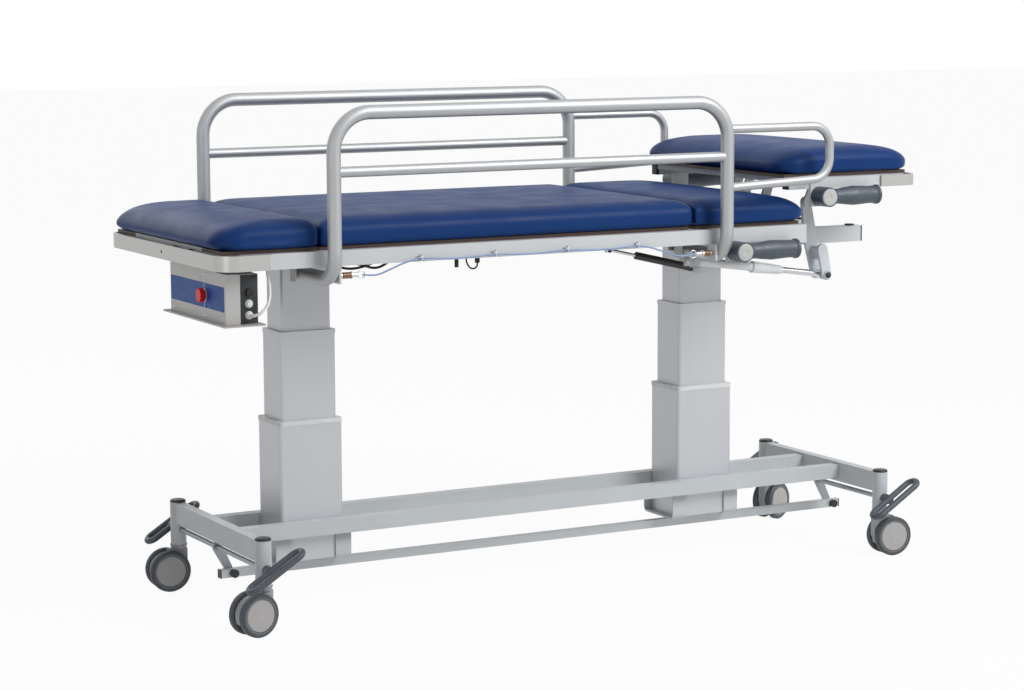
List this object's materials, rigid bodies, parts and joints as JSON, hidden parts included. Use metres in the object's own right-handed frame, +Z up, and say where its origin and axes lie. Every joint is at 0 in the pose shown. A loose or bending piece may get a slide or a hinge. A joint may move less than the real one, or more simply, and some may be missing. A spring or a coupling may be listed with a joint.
{
  "type": "examination table",
  "caption": "Height-adjustable examination table on two telescopic columns, with padded top, raised head section, fold-down side rails and braked castors.",
  "frame": {"origin": "on the floor, below the middle of the whole table's length and width", "axes": "+X along the table towards the head section, +Y across it away from the near side rail, +Z up"},
  "size_m": [1.9276, 0.7982, 1.193],
  "materials": {
    "pad_vinyl": "soft blue upholstery vinyl, faint grain, satin",
    "satin_tube": "satin anodised tube",
    "frame_paint": "light grey powder coat, satin",
    "base_paint": "light grey powder coat, satin",
    "column_alu": "fine brushed anodised extrusion",
    "rim_plastic": "off-white moulded rim",
    "bright_steel": "bright plated steel",
    "bumper_steel": "brushed steel flat bar",
    "castor_shell": "grey moulded castor housing",
    "castor_tread": "grey rubber tread with pale disc",
    "brake_coat": "dark slate plastic coating",
    "black_cap": "black plastic",
    "board_brown": "dark brown sealed board",
    "box_shell": "light grey casing with blue panel",
    "stop_red": "red moulded knob",
    "wire_sheath": "pale blue cable sheath",
    "cord_white": "white cable sheath",
    "grip_rubber": "slate rubber grip",
    "lever_paint": "pale grey powder coat",
    "drive_white": "off-white housing",
    "gas_black": "black-brown cylinder"
  },
  "bodies": {
    "base": {"base_end_left": "base_paint", "base_end_right": "base_paint", "base_rails": "base_paint", "column_cradles": "base_paint", "post_caps": "black_cap", "left_column_outer": "column_alu", "right_column_outer": "column_alu", "column_outer_rims": "rim_plastic", "lift_spindles": "bright_steel"},
    "left_middle": {"left_column_middle": "column_alu"},
    "right_middle": {"right_column_middle": "column_alu"},
    "table": {"column_inners": "column_alu", "frame_sides": "frame_paint", "frame_cross_members": "frame_paint", "end_bumper": "bumper_steel", "deck_boards": "board_brown", "pad_foot": "pad_vinyl", "pad_seat": "pad_vinyl", "control_box": "box_shell", "control_shelf": "frame_paint", "release_wires": "wire_sheath", "wire_hooks": "bright_steel", "control_cord": "cord_white", "frame_cables": "black_cap"},
    "back": {"back_board": "board_brown", "pad_back": "pad_vinyl"},
    "gas_cylinder": {"gas_spring_body": "gas_black"},
    "gas_piston": {"gas_spring_rod": "bright_steel"},
    "rail_near": {"rail_near": "satin_tube"},
    "rail_far": {"rail_far": "satin_tube"},
    "brake_left": {"brake_left": "brake_coat"},
    "brake_right": {"brake_right": "brake_coat"},
    "brake_bar": {"brake_bar": "bright_steel"},
    "head_lever_near": {"head_lever_near": "lever_paint"},
    "head_lever_far": {"head_lever_far": "lever_paint"},
    "head_arm_near": {"head_arm_near": "lever_paint"},
    "head_arm_far": {"head_arm_far": "lever_paint"},
    "head": {"head_frame": "frame_paint", "head_bumper": "bumper_steel", "head_board": "board_brown", "head_pad": "pad_vinyl"},
    "actuator_body": {"actuator_body": "drive_white"},
    "actuator_rod": {"actuator_rod": "bright_steel"},
    "stop_knob": {"stop_knob": "stop_red"},
    "castor_fl": {"castor_housing_fl": "castor_shell"},
    "wheels_fl": {"castor_wheels_fl": "castor_tread"},
    "castor_bl": {"castor_housing_bl": "castor_shell"},
    "wheels_bl": {"castor_wheels_bl": "castor_tread"},
    "castor_fr": {"castor_housing_fr": "castor_shell"},
    "wheels_fr": {"castor_wheels_fr": "castor_tread"},
    "castor_br": {"castor_housing_br": "castor_shell"},
    "wheels_br": {"castor_wheels_br": "castor_tread"},
    "grip_main_near": {"grip_main_near": "grip_rubber"},
    "grip_head_near": {"grip_head_near": "grip_rubber"},
    "latch_near_left": {"latch_near_left": "bright_steel"},
    "latch_near_right": {"latch_near_right": "bright_steel"},
    "grip_main_far": {"grip_main_far": "grip_rubber"},
    "grip_head_far": {"grip_head_far": "grip_rubber"},
    "latch_far_left": {"latch_far_left": "bright_steel"},
    "latch_far_right": {"latch_far_right": "bright_steel"}
  },
  "joints": [
    {"name": "lift", "type": "slide", "parent": "base", "child": "table", "axis": [0, 0, 1], "range_m": [-0.34, 0.06]},
    {"name": "left_middle_slide", "type": "slide", "parent": "base", "child": "left_middle", "axis": [0, 0, 1], "range_m": [-0.17, 0.03]},
    {"name": "right_middle_slide", "type": "slide", "parent": "base", "child": "right_middle", "axis": [0, 0, 1], "range_m": [-0.17, 0.03]},
    {"name": "swivel_fl", "type": "hinge", "parent": "base", "child": "castor_fl", "pos_m": [-0.8196, -0.26, 0], "axis": [0, 0, 1], "continuous": true},
    {"name": "roll_fl", "type": "hinge", "parent": "castor_fl", "child": "wheels_fl", "pos_m": [-0.84709, -0.26534, 0.05], "axis": [0.1908, -0.9816, 0], "continuous": true},
    {"name": "swivel_bl", "type": "hinge", "parent": "base", "child": "castor_bl", "pos_m": [-0.8196, 0.26, 0], "axis": [0, 0, 1], "continuous": true},
    {"name": "roll_bl", "type": "hinge", "parent": "castor_bl", "child": "wheels_bl", "pos_m": [-0.84745, 0.26293, 0.05], "axis": [-0.1045, -0.9945, 0], "continuous": true},
    {"name": "swivel_fr", "type": "hinge", "parent": "base", "child": "castor_fr", "pos_m": [0.8916, -0.26, 0], "axis": [0, 0, 1], "continuous": true},
    {"name": "roll_fr", "type": "hinge", "parent": "castor_fr", "child": "wheels_fr", "pos_m": [0.91945, -0.26293, 0.05], "axis": [0.1045, 0.9945, 0], "continuous": true},
    {"name": "swivel_br", "type": "hinge", "parent": "base", "child": "castor_br", "pos_m": [0.8916, 0.26, 0], "axis": [0, 0, 1], "continuous": true},
    {"name": "roll_br", "type": "hinge", "parent": "castor_br", "child": "wheels_br", "pos_m": [0.91737, 0.27094, 0.05], "axis": [-0.3907, 0.9205, 0], "continuous": true},
    {"name": "brake_pedal", "type": "hinge", "parent": "base", "child": "brake_left", "pos_m": [-0.8196, 0, 0.15], "axis": [0, 1, 0], "range_deg": [-10, 10]},
    {"name": "brake_pedal_right", "type": "hinge", "parent": "base", "child": "brake_right", "pos_m": [0.8916, 0, 0.15], "axis": [0, 1, 0], "range_deg": [-10, 10]},
    {"name": "brake_bar_pin", "type": "hinge", "parent": "brake_left", "child": "brake_bar", "pos_m": [-0.7886, 0, 0.088], "axis": [0, 1, 0], "range_deg": [-10, 10]},
    {"name": "back_lift", "type": "hinge", "parent": "table", "child": "back", "pos_m": [0.276, 0, 0.871], "axis": [0, 1, 0], "range_deg": [0, 25]},
    {"name": "gas_swing", "type": "hinge", "parent": "table", "child": "gas_cylinder", "pos_m": [0.427, -0.1, 0.75], "axis": [0, 1, 0], "range_deg": [0, 8.43]},
    {"name": "gas_stroke", "type": "slide", "parent": "gas_cylinder", "child": "gas_piston", "axis": [-0.9735, 0, 0.2286], "range_m": [0, 0.0311]},
    {"name": "rail_near_drop", "type": "hinge", "parent": "table", "child": "rail_near", "pos_m": [-0.173, -0.195, 0.808], "axis": [1, 0, 0], "range_deg": [0, 120]},
    {"name": "rail_far_drop", "type": "hinge", "parent": "table", "child": "rail_far", "pos_m": [-0.173, 0.195, 0.808], "axis": [-1, 0, 0], "range_deg": [0, 120]},
    {"name": "latch_near_left", "type": "slide", "parent": "table", "child": "latch_near_left", "axis": [1, 0, 0], "range_m": [-0.008, 0.006], "stiffness_N_per_m": 150},
    {"name": "latch_near_right", "type": "slide", "parent": "table", "child": "latch_near_right", "axis": [-1, 0, 0], "range_m": [-0.008, 0.006]},
    {"name": "latch_far_left", "type": "slide", "parent": "table", "child": "latch_far_left", "axis": [1, 0, 0], "range_m": [-0.008, 0.006], "stiffness_N_per_m": 150},
    {"name": "latch_far_right", "type": "slide", "parent": "table", "child": "latch_far_right", "axis": [-1, 0, 0], "range_m": [-0.008, 0.006]},
    {"name": "head_lift", "type": "hinge", "parent": "table", "child": "head_lever_near", "pos_m": [0.752, 0, 0.816], "axis": [0, 1, 0], "range_deg": [0, 114.4]},
    {"name": "head_level", "type": "hinge", "parent": "head_lever_near", "child": "head", "pos_m": [0.738, 0, 0.905], "axis": [0, 1, 0], "range_deg": [-114.41, 0]},
    {"name": "head_lever_far_turn", "type": "hinge", "parent": "table", "child": "head_lever_far", "pos_m": [0.752, 0, 0.816], "axis": [0, 1, 0], "range_deg": [0, 114.4]},
    {"name": "head_arm_near_turn", "type": "hinge", "parent": "table", "child": "head_arm_near", "pos_m": [0.668, 0, 0.816], "axis": [0, 1, 0], "range_deg": [0, 114.4]},
    {"name": "head_arm_far_turn", "type": "hinge", "parent": "table", "child": "head_arm_far", "pos_m": [0.668, 0, 0.816], "axis": [0, 1, 0], "range_deg": [0, 114.4]},
    {"name": "actuator_pin", "type": "hinge", "parent": "head_lever_near", "child": "actuator_rod", "pos_m": [0.7714, -0.162, 0.7214], "axis": [0, 1, 0], "range_deg": [-134.97, 0]},
    {"name": "actuator_stroke", "type": "slide", "parent": "actuator_rod", "child": "actuator_body", "axis": [0.9904, 0, -0.1385], "range_m": [0, 0.1109]},
    {"name": "stop_push", "type": "slide", "parent": "table", "child": "stop_knob", "axis": [1, 0, 0], "range_m": [0, 0.004], "stiffness_N_per_m": 1500},
    {"name": "grip_main_near_turn", "type": "hinge", "parent": "table", "child": "grip_main_near", "pos_m": [0.383, -0.375, 0.817], "axis": [0, 1, 0], "range_deg": [0, 90]},
    {"name": "grip_head_near_turn", "type": "hinge", "parent": "head", "child": "grip_head_near", "pos_m": [0.648, -0.345, 0.936], "axis": [0, 1, 0], "range_deg": [0, 90]},
    {"name": "grip_main_far_turn", "type": "hinge", "parent": "table", "child": "grip_main_far", "pos_m": [0.383, 0.375, 0.817], "axis": [0, 1, 0], "range_deg": [0, 90]},
    {"name": "grip_head_far_turn", "type": "hinge", "parent": "head", "child": "grip_head_far", "pos_m": [0.648, 0.345, 0.936], "axis": [0, 1, 0], "range_deg": [0, 90]}
  ],
  "couplings": [
    {"joint": "left_middle_slide", "follows": "lift", "ratio": 0.5},
    {"joint": "right_middle_slide", "follows": "lift", "ratio": 0.5},
    {"joint": "brake_pedal_right", "follows": "brake_pedal", "ratio": 1},
    {"joint": "brake_bar_pin", "follows": "brake_pedal", "ratio": -1},
    {"joint": "gas_swing", "follows": "back_lift", "ratio": 0.33316},
    {"joint": "gas_stroke", "follows": "back_lift", "m_per_rad": 0.070562},
    {"joint": "latch_near_right", "follows": "latch_near_left", "ratio": 1},
    {"joint": "latch_far_right", "follows": "latch_far_left", "ratio": 1},
    {"joint": "head_level", "follows": "head_lift", "ratio": -1},
    {"joint": "head_lever_far_turn", "follows": "head_lift", "ratio": 1},
    {"joint": "head_arm_near_turn", "follows": "head_lift", "ratio": 1},
    {"joint": "head_arm_far_turn", "follows": "head_lift", "ratio": 1},
    {"joint": "actuator_pin", "follows": "head_lift", "ratio": -1.1789},
    {"joint": "actuator_stroke", "follows": "head_lift", "m_per_rad": 0.05541}
  ]
}
